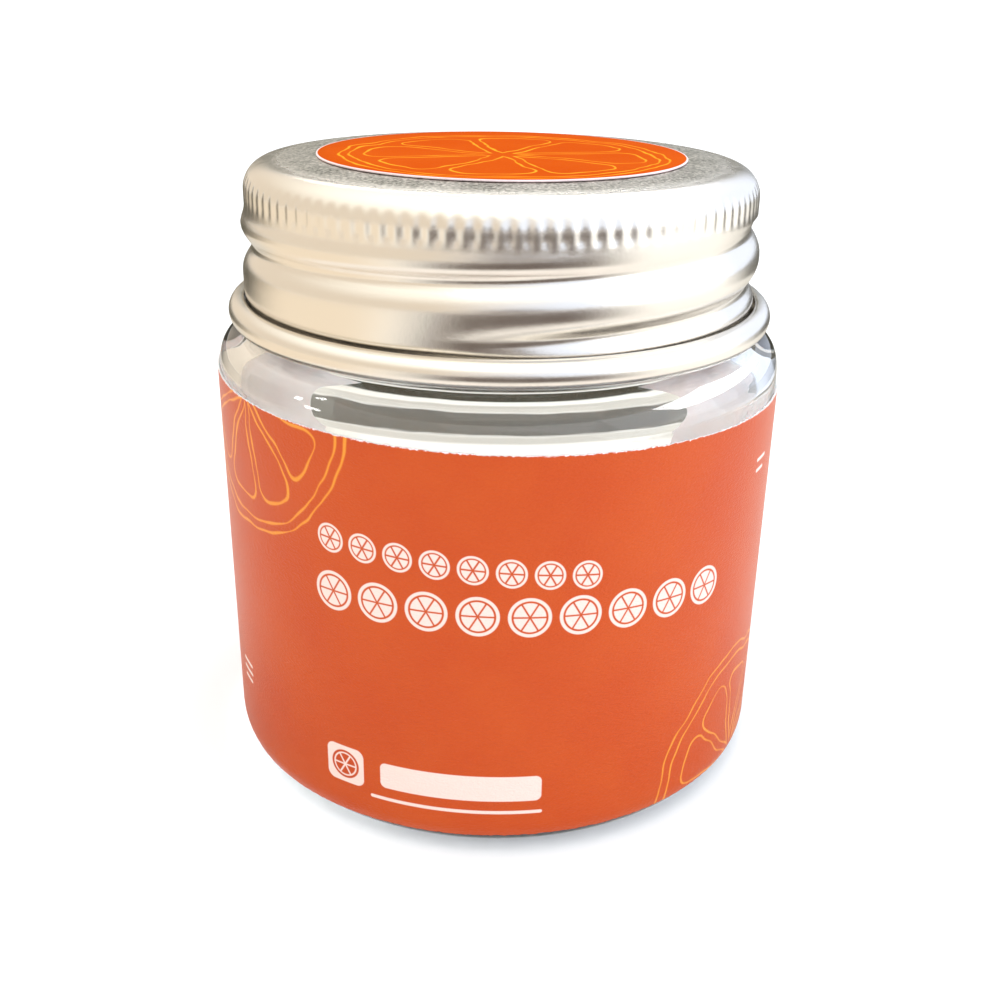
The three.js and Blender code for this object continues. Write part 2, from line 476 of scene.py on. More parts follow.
def arc(
    axis: float, height: float, radius: float, start: float, end: float, steps: int, flatten: float = 1.0
) -> Profile:
    """Stations on a round stretch of a profile.

    Args:
        axis: Radius at which the arc has its centre.
        height: Height of the arc's centre.
        radius: The arc's own radius, across.
        start: Angle of the first station, in degrees from outward.
        end: Angle of the last station.
        steps: How many steps the arc takes.
        flatten: Height of the arc as a share of its radius, for half an ellipse.

    Returns:
        The stations.
    """
    angles = np.radians(np.linspace(start, end, steps + 1))
    return [(axis + radius * math.cos(a), height + flatten * radius * math.sin(a)) for a in angles]


def line(start: tuple[float, float], end: tuple[float, float], steps: int) -> Profile:
    """Evenly spaced stations from start to end, both included."""
    return [tuple(point) for point in np.linspace(start, end, steps + 1)]


def smoothstep(value: float, low: float, high: float) -> float:
    """Smooth step from 0 at low to 1 at high."""
    share = min(1.0, max(0.0, (value - low) / (high - low)))
    return share * share * (3 - 2 * share)


# Finishes


class Effects:
    """Shader node groups that more than one finish uses."""

    def __init__(self) -> None:
        """Builds each group once."""
        self.grain = self.grain_group()
        self.slice = self.slice_group()
        self.fibre = self.fibre_group()

    @staticmethod
    def grain_group() -> bpy.types.NodeTree:
        """Fine speckle and slow mottle of a surface, on a place in mm.

        Returns:
            The group. Its outputs Speckle and Mottle go from 0 to 1.
        """
        group = GroupTree(
            "grain",
            "ShaderNodeTree",
            {
                "Place": (Socket.VECTOR, None),
                "Speckle Scale": (Socket.NUMBER, 6.0),
                "Mottle Scale": (Socket.NUMBER, 0.2),
            },
            {"Speckle": Socket.NUMBER, "Mottle": Socket.NUMBER},
        )
        place, masks = group.given["Place"], {}
        for name, detail, roughness in (("Speckle", 2.0, 0.7), ("Mottle", 3.0, 0.55)):
            value = group.noise(place, group.given[f"{name} Scale"], detail, Roughness=roughness)
            masks[name] = group.smooth(value, 0.3, 0.7)
        return group.give(**masks)

    @staticmethod
    def fibre_group() -> bpy.types.NodeTree:
        """Height of a paper's fibres, on a place in mm.

        Returns:
            The group. Its output Height goes from 0 to 1.
        """
        group = GroupTree(
            "paper_fibre",
            "ShaderNodeTree",
            {
                "Place": (Socket.VECTOR, None),
                "Scale": (Socket.NUMBER, 3.0),
                "Stretch": (Socket.VECTOR, (1.0, 2.2, 1.0)),
            },
            {"Height": Socket.NUMBER},
        )
        given = group.given
        cells_per_fibre, cell_share = 1.7, 0.35
        stretched = group.vector_math("MULTIPLY", given["Place"], given["Stretch"])
        coarse = group.noise(stretched, given["Scale"], 4.0)
        cell_scale = group.math("MULTIPLY", given["Scale"], cells_per_fibre)
        cell = group.node("ShaderNodeTexVoronoi", {"Vector": stretched, "Scale": cell_scale})
        height = group.math("MULTIPLY_ADD", cell.outputs["Distance"], cell_share, coarse)
        return group.give(Height=group.smooth(height, 0.3, 1.1))

    @staticmethod
    def slice_group() -> bpy.types.NodeTree:
        """Line drawing of a citrus slice: two rings of peel and rounded wedges inside, on a place in mm.

        Returns:
            The group. Its Ink output is 1 on the drawn lines and 0 elsewhere.
        """
        number = Socket.NUMBER
        group = GroupTree(
            "citrus_slice",
            "ShaderNodeTree",
            {
                "Place": (Socket.VECTOR, None),
                "Centre": (Socket.VECTOR, None),
                "Peel Radius": (number, 11.3),
                "Pith Radius": (number, 10.45),
                "Wedge Radius": (number, 8.9),
                "Wedges": (number, 9.0),
                "First Wedge": (number, 0.0),
                "Wedge Gap": (number, 0.35),
                "Corner": (number, 1.3),
                "Stroke": (number, 0.4),
                "Wobble": (number, 0.35),
            },
            {"Ink": number},
        )
        given = group.given
        wobble_reach, swell_gain, swell_offset, edge_blur = 6.0, 1.3, -0.15, 0.09
        # A slow wobble of the hand, and a stroke that swells and thins along the line.
        drift = group.node("ShaderNodeTexNoise", {"Vector": given["Place"], "Scale": 0.16, "Detail": 2.0})
        centred = group.vector_math("SUBTRACT", drift.outputs["Color"], (0.5, 0.5, 0.5))
        shift = group.node("ShaderNodeVectorMath", {0: centred}, operation="SCALE")
        group.tree.links.new(group.math("MULTIPLY", given["Wobble"], wobble_reach), shift.inputs["Scale"])
        place = group.vector_math("SUBTRACT", given["Place"], given["Centre"])
        place = group.vector_math("ADD", place, shift.outputs[0])
        x, y, _ = group.split(place)
        reach = group.vector_math("LENGTH", group.join(x, y))
        swell = group.math("MULTIPLY_ADD", group.noise(given["Place"], 0.33, 1.0), swell_gain, swell_offset)
        half = group.math("MULTIPLY", given["Stroke"], swell)
        peel = group.math("ABSOLUTE", group.math("SUBTRACT", reach, given["Peel Radius"]))
        pith = group.math("ABSOLUTE", group.math("SUBTRACT", reach, given["Pith Radius"]))
        # Each wedge is a sector with round corners, and the angle is folded into half of one sector.
        angle = group.math("ADD", group.math("ARCTAN2", y, x), given["First Wedge"])
        step = group.math("DIVIDE", math.tau, given["Wedges"])
        half_step = group.math("MULTIPLY", step, 0.5)
        folded = group.math("SUBTRACT", group.math("FLOORED_MODULO", angle, step), half_step)
        side = group.math("SUBTRACT", half_step, group.math("ABSOLUTE", folded))
        to_side = group.math("MULTIPLY", reach, group.math("SINE", side))
        from_side = group.math("SUBTRACT", to_side, given["Wedge Gap"])
        from_rim = group.math("SUBTRACT", given["Wedge Radius"], reach)
        corner = given["Corner"]
        in_side = group.math("MAXIMUM", group.math("SUBTRACT", corner, from_side), 0.0)
        in_rim = group.math("MAXIMUM", group.math("SUBTRACT", corner, from_rim), 0.0)
        rounded = group.math("SUBTRACT", corner, group.vector_math("LENGTH", group.join(in_side, in_rim)))
        inside = group.math("MINIMUM", group.math("MINIMUM", from_side, from_rim), rounded)
        wedge = group.math("ABSOLUTE", inside)
        nearest = group.math("MINIMUM", group.math("MINIMUM", peel, pith), wedge)
        edge = group.math("SUBTRACT", nearest, half)
        return group.give(Ink=group.smooth(edge, edge_blur, -edge_blur))


def new_material(name: str) -> tuple[bpy.types.Material, Tree, bpy.types.Node]:
    """A material with a Principled shader.

    Args:
        name: The material's name.

    Returns:
        The material, its tree and its Principled node.
    """
    material = bpy.data.materials.new(name)
    material.use_nodes = True
    return material, Tree(material.node_tree), material.node_tree.nodes["Principled BSDF"]


def place_in_mm(tree: Tree) -> bpy.types.NodeSocket:
    """Object coordinates in mm.

    Args:
        tree: The material's tree.

    Returns:
        The socket of the place.
    """
    source = tree.node("ShaderNodeTexCoord")
    inputs = {0: source.outputs["Object"], "Scale": 1 / MM}
    return tree.node("ShaderNodeVectorMath", inputs, operation="SCALE").outputs[0]


def bump(tree: Tree, shader: bpy.types.Node, height: bpy.types.NodeSocket, depth: float) -> None:
    """Feeds a height to a shader's normal as relief of this depth in mm."""
    made = tree.node("ShaderNodeBump", {"Height": height, "Distance": depth * MM, "Strength": 1.0})
    tree.tree.links.new(made.outputs[0], shader.inputs["Normal"])


@dataclass(frozen=True)
class ClearGlass:
    """Soda-lime glass with a faint green cast, which lets lamps shine through onto what is behind it."""

    tint: Colour = (0.985, 0.992, 0.985)
    shadow: Colour = (0.965, 0.98, 0.97)
    ior: float = 1.51
    ripple_scale: float = 0.22
    ripple_depth: float = 0.05
    streaks: Colour = (0.02, 0.02, 1.5)
    streak_share: float = 0.16

    def material(self) -> bpy.types.Material:
        """Builds the glass, with a slow moulded ripple and fine level streaks from the mould.

        Returns:
            The material.
        """
        material, tree, shader = new_material("clear_glass")
        shader.inputs["Base Color"].default_value = (*self.tint, 1.0)
        shader.inputs["Roughness"].default_value = 0.0
        shader.inputs["IOR"].default_value = self.ior
        shader.inputs["Transmission Weight"].default_value = 1.0
        place = place_in_mm(tree)
        ripple = tree.noise(place, self.ripple_scale, 1.0)
        streak = tree.noise(tree.vector_math("MULTIPLY", place, self.streaks), 1.0, 1.0)
        height = tree.math("MULTIPLY_ADD", streak, self.streak_share, ripple)
        bump(tree, shader, height, self.ripple_depth)
        passing = tree.node("ShaderNodeBsdfTransparent", {"Color": (*self.shadow, 1.0)})
        ray = tree.node("ShaderNodeLightPath")
        blocked = {0: ray.outputs["Is Shadow Ray"], 1: shader.outputs[0], 2: passing.outputs[0]}
        mixed = tree.node("ShaderNodeMixShader", blocked)
        tree.tree.links.new(mixed.outputs[0], material.node_tree.nodes["Material Output"].inputs["Surface"])
        return material


@dataclass(frozen=True)
class SatinAluminium:
    """Pressed sheet with a coarse satin grain on its flat top and a smoother, drawn wall."""

    colour: Colour = (0.83, 0.79, 0.73)
    dull: Colour = (0.07, 0.07, 0.045)
    top_start: float = 50.72
    top_full: float = 50.96
    wall_roughness: float = 0.22
    top_roughness: float = 0.30
    speckle_scale: float = 3.2
    speckle_share: float = 0.8
    mottle_scale: float = 0.35
    mottle_share: float = 0.3
    mottle_roughness: float = 0.05
    top_relief: float = 0.04
    wall_relief: float = 0.002

    def material(self, effects: Effects) -> bpy.types.Material:
        """Builds the lid's finish, in which the grain fades from the flat top into the wall.

        Args:
            effects: The shared shader groups.

        Returns:
            The material.
        """
        material, tree, shader = new_material("satin_aluminium")
        place = place_in_mm(tree)
        grain = tree.group(
            effects.grain, Place=place, Speckle_Scale=self.speckle_scale, Mottle_Scale=self.mottle_scale
        )
        speckle, mottle = grain.outputs["Speckle"], grain.outputs["Mottle"]
        top = tree.smooth(tree.split(place)[2], self.top_start, self.top_full)
        dulled = tree.math("MULTIPLY", mottle, self.mottle_share)
        dulled = tree.math("MULTIPLY_ADD", speckle, self.speckle_share, dulled)
        colour = tree.mix_colour(tree.math("MULTIPLY", dulled, top), self.colour, self.dull)
        tree.tree.links.new(colour, shader.inputs["Base Color"])
        shader.inputs["Metallic"].default_value = 1.0
        span = self.top_roughness - self.wall_roughness
        wall = tree.math("MULTIPLY_ADD", mottle, self.mottle_roughness, self.wall_roughness)
        tree.tree.links.new(tree.math("MULTIPLY_ADD", top, span, wall), shader.inputs["Roughness"])
        relief = tree.math("MULTIPLY_ADD", top, self.top_relief - self.wall_relief, self.wall_relief)
        bump(tree, shader, tree.math("MULTIPLY", speckle, relief), 1.0)
        return material


@dataclass(frozen=True)
class PrintedPaper:
    """Matt paper with a solid orange print, a thin yellow line drawing and a pale cut edge."""

    name: str
    ground: Colour
    ground_mottle: Colour
    line_ink: Colour
    # Pinkish white: the paper's own white with a painted pink of the light that comes through the orange
    # print.
    bare: Colour = (1.0, 0.85, 0.89)
    pale_ink: Colour = (0.90, 0.70, 0.64)
    roughness: float = 0.42
    fibre_roughness: float = 0.12
    shine: float = 0.34
    sheen: float = 0.3
    sheen_roughness: float = 0.3
    relief: float = 0.03
    speckle_share: float = 0.25
    mottle_share: float = 0.6
    glow: float = 0.0
    glow_reach: float = 0.25
    glow_colour: Colour = (1.0, 0.75, 0.7)

    def start(
        self, effects: Effects, place: str | None
    ) -> tuple[bpy.types.Material, Tree, bpy.types.Node, bpy.types.NodeSocket]:
        """Starts the finish with its fibres.

        Args:
            effects: The shared shader groups.
            place: The attribute that holds the place in mm on the flat sheet, or None for Object coordinates.

        Returns:
            The material, its tree, its shader and the socket of the place in mm.
        """
        material, tree, shader = new_material(self.name)
        if place:
            spot = tree.node("ShaderNodeAttribute", attribute_name=place).outputs["Vector"]
        else:
            spot = place_in_mm(tree)
        fibre = tree.group(effects.fibre, Place=spot).outputs["Height"]
        bump(tree, shader, fibre, self.relief)
        rough = tree.math("MULTIPLY_ADD", fibre, self.fibre_roughness, self.roughness)
        tree.tree.links.new(rough, shader.inputs["Roughness"])
        shader.inputs["Specular IOR Level"].default_value = self.shine
        shader.inputs["Sheen Weight"].default_value = self.sheen
        shader.inputs["Sheen Roughness"].default_value = self.sheen_roughness
        shader.inputs["Subsurface Weight"].default_value = self.glow
        shader.inputs["Subsurface Radius"].default_value = self.glow_colour
        shader.inputs["Subsurface Scale"].default_value = self.glow_reach * MM
        return material, tree, shader, spot

    def ground_colour(self, tree: Tree, effects: Effects, spot: object) -> bpy.types.NodeSocket:
        """The printed ground with its slight mottle.

        Args:
            tree: The material's tree.
            effects: The shared shader groups.
            spot: The place in mm.

        Returns:
            The socket of the colour.
        """
        grain = tree.group(effects.grain, Place=spot, Speckle_Scale=5.0, Mottle_Scale=0.12)
        share = tree.math("MULTIPLY", grain.outputs["Mottle"], self.mottle_share)
        share = tree.math("MULTIPLY_ADD", grain.outputs["Speckle"], self.speckle_share, share)
        return tree.mix_colour(share, self.ground, self.ground_mottle)


# Pieces


@dataclass
class GlassJar:
    """Open-mouthed jar: pushed-up base on a flat ring, round heel, straight wall, shoulder, threaded neck."""

    finish: ClearGlass = field(default_factory=ClearGlass)
    radius: float = 23.5
    wall: float = 2.2
    heel_radius: float = 2.8
    floor_height: float = 3.4
    push_up: float = 0.9
    push_up_flat: float = 13.5
    bearing_width: float = 1.9
    shoulder_start: float = 34.5
    shoulder_rise: float = 3.0
    shoulder_squareness: float = 2.5
    neck_radius: float = 19.3
    neck_bore: float = 17.2
    neck_foot: float = 38.1
    inner_heel_radius: float = 3.4
    inner_shoulder_start: float = 34.1
    inner_shoulder_rise: float = 2.2
    rim_height: float = 50.55
    thread_height: float = 1.0
    thread_above_groove: float = 2.0
    columns: int = 216

    def outer_radius(self, height: float) -> float:
        """Outer radius of the glass up to the top of its shoulder.

        Args:
            height: Height in mm.

        Returns:
            The radius in mm.
        """
        if height < self.heel_radius:
            drop = self.heel_radius - height
            return self.radius - self.heel_radius + math.sqrt(self.heel_radius**2 - drop**2)
        share = min(1.0, max(0.0, (height - self.shoulder_start) / self.shoulder_rise))
        n = self.shoulder_squareness
        return self.radius - self.shoulder_rise + self.shoulder_rise * (1 - share**n) ** (1 / n)

    def shoulder(self) -> Profile:
        """The squared-off round shoulder, from the wall inwards to the neck's foot.

        Returns:
            The stations.
        """
        stations = []
        for angle in np.radians(np.linspace(0, 90, 17)):
            parts = (math.cos(angle), math.sin(angle))
            outward, upward = (max(0.0, part) ** (2 / self.shoulder_squareness) for part in parts)
            radius = self.radius - self.shoulder_rise * (1 - outward)
            stations.append((radius, self.shoulder_start + self.shoulder_rise * upward))
        return stations

    def profile(self) -> tuple[Profile, list[float]]:
        """The jar's section from the middle of the base outside to the middle of the floor inside.

        Returns:
            The stations, and for each of them its share of the neck's thread.
        """
        bearing = self.radius - self.heel_radius
        rim_radius = (self.neck_radius - self.neck_bore) / 2
        rim_middle = self.rim_height - rim_radius
        inner = self.radius - self.wall
        flare = inner - self.neck_bore
        base = line((0.0, self.push_up), (self.push_up_flat, self.push_up), 6)
        ramp = [
            (radius, self.push_up * (1 - smoothstep(radius, self.push_up_flat, bearing - self.bearing_width)))
            for radius in np.linspace(self.push_up_flat, bearing - self.bearing_width, 8)[1:]
        ]
        heel = arc(bearing, self.heel_radius, self.heel_radius, -90, 0, 12)
        wall = line((self.radius, self.heel_radius), (self.radius, self.shoulder_start), 8)[1:-1]
        shoulder = self.shoulder()
        foot = line(shoulder[-1], (self.neck_radius, self.neck_foot), 4)[1:-1]
        neck = line((self.neck_radius, self.neck_foot), (self.neck_radius, rim_middle), 40)
        rim = arc(self.neck_bore + rim_radius, rim_middle, rim_radius, 0, 180, 14)[1:]
        inner_start, inner_rise = self.inner_shoulder_start, self.inner_shoulder_rise
        bore = line((self.neck_bore, rim_middle), (self.neck_bore, inner_start + inner_rise), 6)[1:-1]
        inside = arc(self.neck_bore, inner_start, flare, 90, 0, 24, flatten=inner_rise / flare)
        drop = self.floor_height + self.inner_heel_radius
        inner_wall = line((inner, inner_start), (inner, drop), 8)[1:-1]
        inner_heel = arc(inner - self.inner_heel_radius, drop, self.inner_heel_radius, 0, -90, 12)
        floor = line((inner - self.inner_heel_radius, self.floor_height), (0.0, self.floor_height), 6)[1:]
        before = [base, ramp, heel, wall, shoulder, foot]
        after = [rim, bore, inside, inner_wall, inner_heel, floor]
        stations = [point for part in (*before, neck, *after) for point in part]
        count = sum(len(part) for part in before)
        shares = [0.0] * len(stations)
        shares[count + 1 : count + len(neck) - 1] = [1.0] * (len(neck) - 2)
        return stations, shares

    def build(self) -> bpy.types.Object:
        """Turns the jar and gives it its glass.

        Returns:
            The finished piece.
        """
        profile, shares = self.profile()
        form = TurnedForm(
            "glass_jar_body",
            profile,
            self.columns,
            helix_share=shares,
            helix_height=self.thread_height,
            helix_lift=self.thread_above_groove,
        )
        piece = form.build(self.finish.material())
        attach(piece, "root")
        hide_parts("glass_jar")
        return piece


@dataclass
class ScrewLid:
    """Pressed lid: flat top, round corner, knurled band, rolled groove and an open curl along its foot."""

    effects: Effects
    finish: SatinAluminium = field(default_factory=SatinAluminium)
    top: float = 51.0
    radius: float = 20.75
    bulge_radius: float = 21.15
    metal: float = 0.35
    corner: float = 2.2
    crown: float = 0.22
    crown_start: float = 15.4
    knurl_count: int = 108
    knurl_depth: float = 0.1
    knurl_top: float = 49.9
    knurl_bottom: float = 47.4
    knurl_runout: float = 0.7
    groove_depth: float = 0.85
    band_taper: float = 1.6
    skirt_radius: float = 20.65
    skirt_taper: float = 1.8
    curl_height: float = 39.1
    curl_radius: float = 1.1
    curl_start: float = 200.0
    curl_end: float = 460.0
    columns_per_knurl: int = 8

    def wall_radius(self, height: float) -> float:
        """Outer radius of the wall below the knurled band, before its groove is rolled.

        Args:
            height: Height in mm.

        Returns:
            The radius in mm.
        """
        low = smoothstep(height, self.curl_height, self.curl_height + self.skirt_taper)
        high = smoothstep(height, self.knurl_bottom - self.band_taper, self.knurl_bottom)
        flare = (self.bulge_radius - self.skirt_radius) * low
        return self.skirt_radius + flare - (self.bulge_radius - self.radius) * high

    def knurl_share(self, height: float) -> float:
        """Share of the knurls' depth at a height on the band."""
        low = smoothstep(height, self.knurl_bottom, self.knurl_bottom + self.knurl_runout)
        return low * (1 - smoothstep(height, self.knurl_top - self.knurl_runout, self.knurl_top))

    def crown_share(self, radius: float) -> float:
        """Share of the crown's fall at a radius on the top, which steepens towards the corner."""
        return ((radius - self.crown_start) / (self.radius - self.corner - self.crown_start)) ** 2

    def profile(self) -> tuple[Profile, list[float], list[float]]:
        """The lid's section from the middle of its underside, round the curl, to the middle of its top.

        Returns:
            The stations, their shares of the groove and their shares of the knurls.
        """
        axis = self.radius - self.corner
        shoulder = self.top - self.crown
        middle = shoulder - self.corner
        inner_corner = self.corner - self.metal
        cavity = self.curl_radius - self.metal
        curl_axis = self.skirt_radius + cavity
        heights = np.linspace(self.curl_height, self.knurl_bottom, 26)[1:-1]
        band = np.linspace(self.knurl_bottom, middle, 6)[:-1]
        under = line((0.0, shoulder - self.metal), (axis, shoulder - self.metal), 3)[:-1]
        inside = arc(axis, middle, inner_corner, 90, 0, 5)
        inner = [(self.wall_radius(height) - self.metal, height) for height in reversed([*heights[::2]])]
        curl = arc(curl_axis, self.curl_height, self.curl_radius, self.curl_start, self.curl_end, 22)
        hollow = arc(curl_axis, self.curl_height, cavity, self.curl_end, self.curl_start, 9)
        outer = [(self.wall_radius(height), height) for height in heights]
        plain = [(self.radius, height) for height in band]
        corner = arc(axis, middle, self.corner, 0, 90, 12)
        falling = np.linspace(axis, self.crown_start, 9)[1:]
        cap = [(radius, self.top - self.crown * self.crown_share(radius)) for radius in falling]
        cap += line((self.crown_start, self.top), (0.0, self.top), 4)[1:]
        parts = [(under, 0, 0), (inside, 0, 0), (inner, 1, 0), (curl, 0, 0), (hollow, 0, 0)]
        parts += [(outer, 1, 0), (plain, 0, 1), (corner, 0, 1), (cap, 0, 0)]
        stations = [point for part, _, _ in parts for point in part]
        groove = [float(share) for part, share, _ in parts for _ in part]
        knurls = [share * self.knurl_share(height) for part, _, share in parts for _, height in part]
        return stations, groove, knurls

    def build(self) -> bpy.types.Object:
        """Turns the lid and gives it its metal.

        Returns:
            The finished piece.
        """
        profile, groove, knurls = self.profile()
        form = TurnedForm(
            "screw_lid_shell",
            profile,
            self.knurl_count * self.columns_per_knurl,
            helix_share=groove,
            knurl_share=knurls,
            helix_height=-self.groove_depth,
            knurl_count=self.knurl_count,
            knurl_depth=self.knurl_depth,
        )
        piece = form.build(self.finish.material(self.effects))
        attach(piece, "root")
        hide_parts("screw_lid")
        return piece


@dataclass(frozen=True)
class CitrusSlice:
    """Place and sizes in mm of one line drawing of a citrus slice on a sheet."""

    centre: tuple[float, float]
    peel: float
    pith: float
    wedge: float
    wedges: int
    first: float = 0.0
    gap: float = 0.35
    corner: float = 1.3
    stroke: float = 0.4
    wobble: float = 0.35

    def ink(self, tree: Tree, effects: Effects, spot: object) -> bpy.types.NodeSocket:
        """Places the drawing in a material.

        Args:
            tree: The material's tree.
            effects: The shared shader groups.
            spot: The place in mm on the flat sheet.

        Returns:
            The socket of its ink.
        """
        placed = tree.group(
            effects.slice,
            Place=spot,
            Centre=(*self.centre, 0.0),
            Peel_Radius=self.peel,
            Pith_Radius=self.pith,
            Wedge_Radius=self.wedge,
            Wedges=float(self.wedges),
            First_Wedge=math.radians(self.first),
            Wedge_Gap=self.gap,
            Corner=self.corner,
            Stroke=self.stroke,
            Wobble=self.wobble,
        )
        return placed.outputs["Ink"]


@dataclass(frozen=True)
class SliceRow:
    """A row of small pale citrus slices along the label, in place of a title line."""

    start: float
    end: float
    height_start: float
    height_end: float
    count: int
    radius: float
    pulp: float = 0.74
    peel: float = 0.08
    wedges: int = 6
    cut: float = 0.07
    blur: float = 0.05

    def ink(self, tree: Tree, spot: object) -> bpy.types.NodeSocket:
        """Adds the row to a material.

        Args:
            tree: The material's tree.
            spot: The place in mm on the flat sheet.

        Returns:
            The socket of its ink.
        """
        x, y, _ = tree.split(spot)
        pitch = (self.end - self.start) / self.count
        share = tree.math("DIVIDE", tree.math("SUBTRACT", x, self.start), self.end - self.start)
        middle = tree.math("MULTIPLY_ADD", share, self.height_end - self.height_start, self.height_start)
        along = tree.math("FLOORED_MODULO", tree.math("SUBTRACT", x, self.start), pitch)
        across = tree.math("SUBTRACT", along, pitch / 2)
        above = tree.math("SUBTRACT", y, middle)
        reach = tree.vector_math("LENGTH", tree.join(across, above))
        pulp = self.radius * self.pulp
        disc = tree.smooth(reach, pulp + self.blur, pulp - self.blur)
        # The cuts between the wedges are rays, and the angle is folded into one wedge and made a width.
        step = math.tau / self.wedges
        folded = tree.math("FLOORED_MODULO", tree.math("ARCTAN2", above, across), step)
        side = tree.math("SUBTRACT", step / 2, tree.math("ABSOLUTE", tree.math("SUBTRACT", folded, step / 2)))
        width = tree.math("MULTIPLY", reach, tree.math("SINE", side))
        disc = tree.math("MULTIPLY", disc, tree.smooth(width, self.cut - self.blur, self.cut + self.blur))
        rim = tree.math("ABSOLUTE", tree.math("SUBTRACT", reach, self.radius * (1 - self.peel)))
        peel = tree.smooth(rim, self.radius * self.peel + self.blur, self.radius * self.peel - self.blur)
        drawn = tree.math("MAXIMUM", disc, peel)
        begun, open_end = tree.math("GREATER_THAN", share, 0.0), tree.math("LESS_THAN", share, 1.0)
        return tree.math("MULTIPLY", drawn, tree.math("MULTIPLY", begun, open_end))


@dataclass(frozen=True)
class PaleBar:
    """A bar of pale ink on the label, with round corners."""

    start: float
    end: float
    height: float
    thickness: float
    corner: float = 0.15
    blur: float = 0.05

    def ink(self, tree: Tree, spot: object) -> bpy.types.NodeSocket:
        """Adds the bar to a material.

        Args:
            tree: The material's tree.
            spot: The place in mm on the flat sheet.

        Returns:
            The socket of its ink.
        """
        x, y, _ = tree.split(spot)
        past = []
        for value, middle, half in (
            (x, (self.start + self.end) / 2, (self.end - self.start) / 2),
            (y, self.height, self.thickness / 2),
        ):
            away = tree.math("ABSOLUTE", tree.math("SUBTRACT", value, middle))
            past.append(tree.math("MAXIMUM", tree.math("SUBTRACT", away, half - self.corner), 0.0))
        reach = tree.vector_math("LENGTH", tree.join(*past))
        return tree.smooth(reach, self.corner + self.blur, self.corner - self.blur)


@dataclass
class WrapLabel:
    """Printed paper label glued round the wall, open at the back, with its edges slightly out of true."""

    effects: Effects
    jar: GlassJar
    paper: float = 0.15
    glue: float = 0.05
    top: float = 34.15
    top_slope: float = -0.45
    bottom: float = 1.75
    bottom_slope: float = 0.2
    half_wrap: float = 180 * 38 / 54
    columns: int = 380
    edge_wear: float = 0.12
    fringe: float = 0.08
    fringe_blur: float = 0.05
    line_share: float = 0.8
    back_mottle: float = 0.93
    sharp_angle: float = 40.0
    seed: int = 7
    height_shares: tuple[float, ...] = (0.0, 0.012, 0.024, 0.038, 0.052, 0.2, 0.4, 0.6, 0.8, 0.95, 0.98, 1.0)
    finish: PrintedPaper = field(
        default_factory=lambda: PrintedPaper(
            "label_print",
            ground=(0.55, 0.062, 0.002),
            ground_mottle=(0.59, 0.082, 0.004),
            line_ink=(0.92, 0.36, 0.03),
        )
    )
    slices: tuple[CitrusSlice, ...] = (
        CitrusSlice((-22.5, 35.5), 11.3, 10.45, 8.9, 10, first=9.0, stroke=0.2),
        CitrusSlice((25.4, 1.8), 11.15, 10.2, 8.5, 10, first=4.0, stroke=0.16),
    )
    rows: tuple[SliceRow, ...] = (
        SliceRow(-14.2, 8.2, 26.2, 24.5, 8, 1.15),
        SliceRow(-14.6, 19.8, 21.8, 21.1, 9, 1.62),
    )
    bars: tuple[PaleBar, ...] = (
        PaleBar(-14.0, -10.5, 6.3, 3.4, corner=0.7),
        PaleBar(-9.0, 3.9, 6.35, 2.3, corner=0.5),
        PaleBar(-9.9, 4.0, 4.15, 0.3),
        PaleBar(-27.4, -25.0, 9.6, 0.3),
        PaleBar(-27.4, -25.0, 8.8, 0.3),
        PaleBar(-27.2, -25.2, 8.0, 0.3),
        PaleBar(24.9, 27.0, 29.4, 0.3),
        PaleBar(24.9, 26.6, 28.5, 0.3),
    )
    mark: SliceRow = SliceRow(-13.65, -10.85, 6.3, 6.3, 1, 1.3)

    def surface(self, azimuth: np.ndarray, height: np.ndarray, proud: float) -> np.ndarray:
        """Points on or over the glass.

        Args:
            azimuth: Azimuths in degrees.
            height: Heights in mm.
            proud: How far the points stand proud of the glass, in mm.

        Returns:
            The points in metres.
        """
        radius = np.vectorize(self.jar.outer_radius)(height) + proud
        angle = np.radians(azimuth)
        return np.stack([radius * np.sin(angle), -radius * np.cos(angle), height], -1) * MM

    def sheet_mesh(self) -> bpy.types.Mesh:
        """Closed mesh of the sheet, with the place in mm on the flat sheet in its print_place attribute.

        Returns:
            The mesh. Material slot 0 is the printed face, and slot 1 the bare back and the cut edges.
        """
        rng = np.random.default_rng(self.seed)
        azimuth = np.linspace(-self.half_wrap, self.half_wrap, self.columns + 1)
        turn = np.radians(azimuth)
        top = self.top + self.top_slope * turn + rng.uniform(-self.edge_wear, 0, len(azimuth))
        bottom = self.bottom + self.bottom_slope * turn + rng.uniform(0, self.edge_wear, len(azimuth))
        shares = np.array(self.height_shares)
        heights = bottom[:, None] + (top - bottom)[:, None] * shares
        around = np.repeat(azimuth[:, None], len(shares), 1)
        front = self.surface(around, heights, self.glue + self.paper)
        back = self.surface(around, heights, self.glue)[:, ::-1]
        ring = np.concatenate([front, back], 1)
        along = np.radians(around) * (self.jar.radius + self.glue + self.paper)
        flat = np.stack([along, heights, 0 * heights], -1)
        places = np.concatenate([flat, flat[:, ::-1]], 1)
        section = ring.shape[1]
        faces, slots = [], []
        for c in range(self.columns):
            for k in range(section):
                a, b = c * section + k, c * section + (k + 1) % section
                faces.append((a, a + section, b + section, b))
                slots.append(0 if k < len(shares) - 1 else 1)
        last = self.columns * section
        for k in range(len(shares) - 1):
            a, b, c, d = k, k + 1, section - 2 - k, section - 1 - k
            faces += [(a, b, c, d), (last + a, last + d, last + c, last + b)]
            slots += [1, 1]
        mesh = bpy.data.meshes.new("wrap_label_sheet")
        mesh.from_pydata(ring.reshape(-1, 3).tolist(), [], faces)
        mesh.polygons.foreach_set("material_index", slots)
        place = mesh.attributes.new("print_place", "FLOAT_VECTOR", "POINT")
        place.data.foreach_set("vector", places.ravel().astype(np.float32))
        mesh.shade_smooth()
        mesh.set_sharp_from_angle(angle=math.radians(self.sharp_angle))
        return mesh

